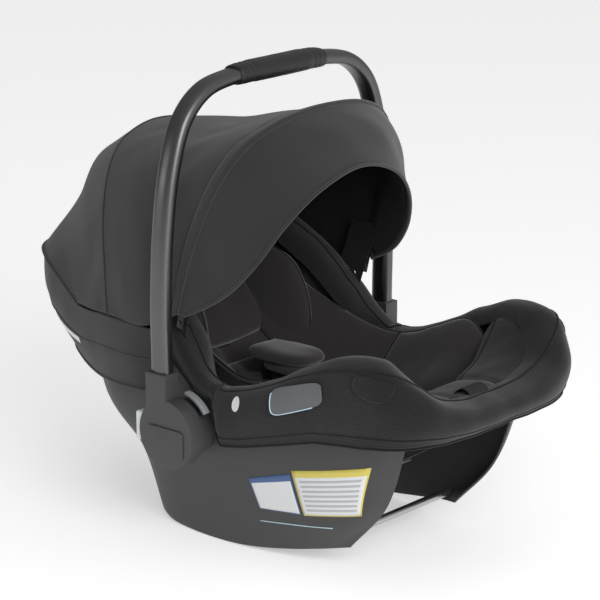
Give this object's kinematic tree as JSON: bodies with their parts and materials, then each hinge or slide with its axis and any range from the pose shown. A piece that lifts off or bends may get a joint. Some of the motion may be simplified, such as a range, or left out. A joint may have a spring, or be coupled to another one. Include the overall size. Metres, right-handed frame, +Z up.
{
  "type": "infant car seat",
  "caption": "Rear-facing infant carrier seat with a moulded rocker shell, padded bucket, folding fabric canopy and a pivoting carry handle.",
  "frame": {"origin": "centre of the footprint on the floor, at the bottom of the rocker shell", "axes": "+X towards the child's feet, +Y to the child's left, +Z up"},
  "size_m": [0.6864, 0.4376, 0.5727],
  "materials": {
    "shell_plastic": "fine moulded grain",
    "hub_plastic": "satin",
    "black_plastic": "satin",
    "button_grey": "satin",
    "button_white": "satin",
    "anodised_tube": "dark anodised satin",
    "grip_leather": "soft semi-gloss",
    "canopy_fabric": "fine plain weave",
    "knit_fabric": "ribbed knit",
    "liner_fabric": "soft jersey",
    "foam": "open cell foam",
    "webbing": "ribbed webbing",
    "steel": "zinc plated",
    "buckle_red": "moulded",
    "badge_plastic": "satin"
  },
  "bodies": {
    "carrier": {"adjuster_housing": "black_plastic", "adjuster_strap": "webbing", "badge_left": "badge_plastic", "badge_right": "badge_plastic", "belt_guide_left": "button_grey", "belt_guide_right": "button_grey", "body_insert": "liner_fabric", "boot_cover": "canopy_fabric", "buckle_body": "black_plastic", "canopy_front_stud_left": "black_plastic", "canopy_front_stud_right": "black_plastic", "canopy_middle": "canopy_fabric", "canopy_rear": "canopy_fabric", "canopy_rear_bow": "black_plastic", "canopy_rear_stud_left": "black_plastic", "canopy_rear_stud_right": "black_plastic", "crotch_pad": "liner_fabric", "crotch_strap": "webbing", "foam_liner": "foam", "front_dock_bar": "steel", "head_pad": "liner_fabric", "hub_base_left": "hub_plastic", "hub_base_right": "hub_plastic", "lower_front_strap": "webbing", "lower_rear_strap": "webbing", "outer_shell": "shell_plastic", "pivot_pin_left": "steel", "pivot_pin_right": "steel", "rear_dock_bar": "steel", "seat_bucket": "black_plastic", "seat_cover": "knit_fabric", "seat_pad": "liner_fabric", "shoulder_strap_left": "webbing", "shoulder_strap_right": "webbing", "side_panel_front_left": "liner_fabric", "side_panel_front_right": "liner_fabric", "side_panel_rear_left": "liner_fabric", "side_panel_rear_right": "liner_fabric", "splitter_plate": "steel"},
    "handle": {"handle_tube": "anodised_tube", "handle_grip": "grip_leather", "handle_hub_left": "hub_plastic", "handle_hub_right": "hub_plastic", "hub_pad_left": "badge_plastic", "hub_pad_right": "badge_plastic", "socket_rivet_left": "steel", "socket_rivet_right": "steel", "button_spring_left": "steel", "button_spring_right": "steel"},
    "handle_button_left": {"handle_button_left": "button_white"},
    "handle_button_right": {"handle_button_right": "button_white"},
    "canopy_front": {"canopy_visor": "canopy_fabric", "canopy_front_bow": "black_plastic"},
    "buckle_button": {"buckle_button": "buckle_red"},
    "adjuster_button": {"adjuster_button": "button_grey"}
  },
  "joints": [
    {"name": "handle_turn", "type": "hinge", "parent": "carrier", "child": "handle", "pos_m": [-0.0225, 0, 0.153], "axis": [0, 1, 0], "range_deg": [-108, 40]},
    {"name": "left_button_press", "type": "slide", "parent": "handle", "child": "handle_button_left", "axis": [1, 0, 0], "range_m": [0, 0.006], "stiffness_N_per_m": 600, "deforming": ["button_spring_left"]},
    {"name": "right_button_press", "type": "slide", "parent": "handle", "child": "handle_button_right", "axis": [1, 0, 0], "range_m": [0, 0.006], "stiffness_N_per_m": 600, "deforming": ["button_spring_right"]},
    {"name": "canopy_fold", "type": "hinge", "parent": "carrier", "child": "canopy_front", "pos_m": [-0.04, 0, 0.277], "axis": [0, 1, 0], "range_deg": [-55, 0], "deforming": ["canopy_middle"]},
    {"name": "buckle_press", "type": "slide", "parent": "carrier", "child": "buckle_button", "axis": [0, 0, -1], "range_m": [0, 0.0025], "stiffness_N_per_m": 500},
    {"name": "adjuster_press", "type": "slide", "parent": "carrier", "child": "adjuster_button", "axis": [0.4131, 0, -0.9107], "range_m": [0, 0.0025], "stiffness_N_per_m": 500}
  ]
}
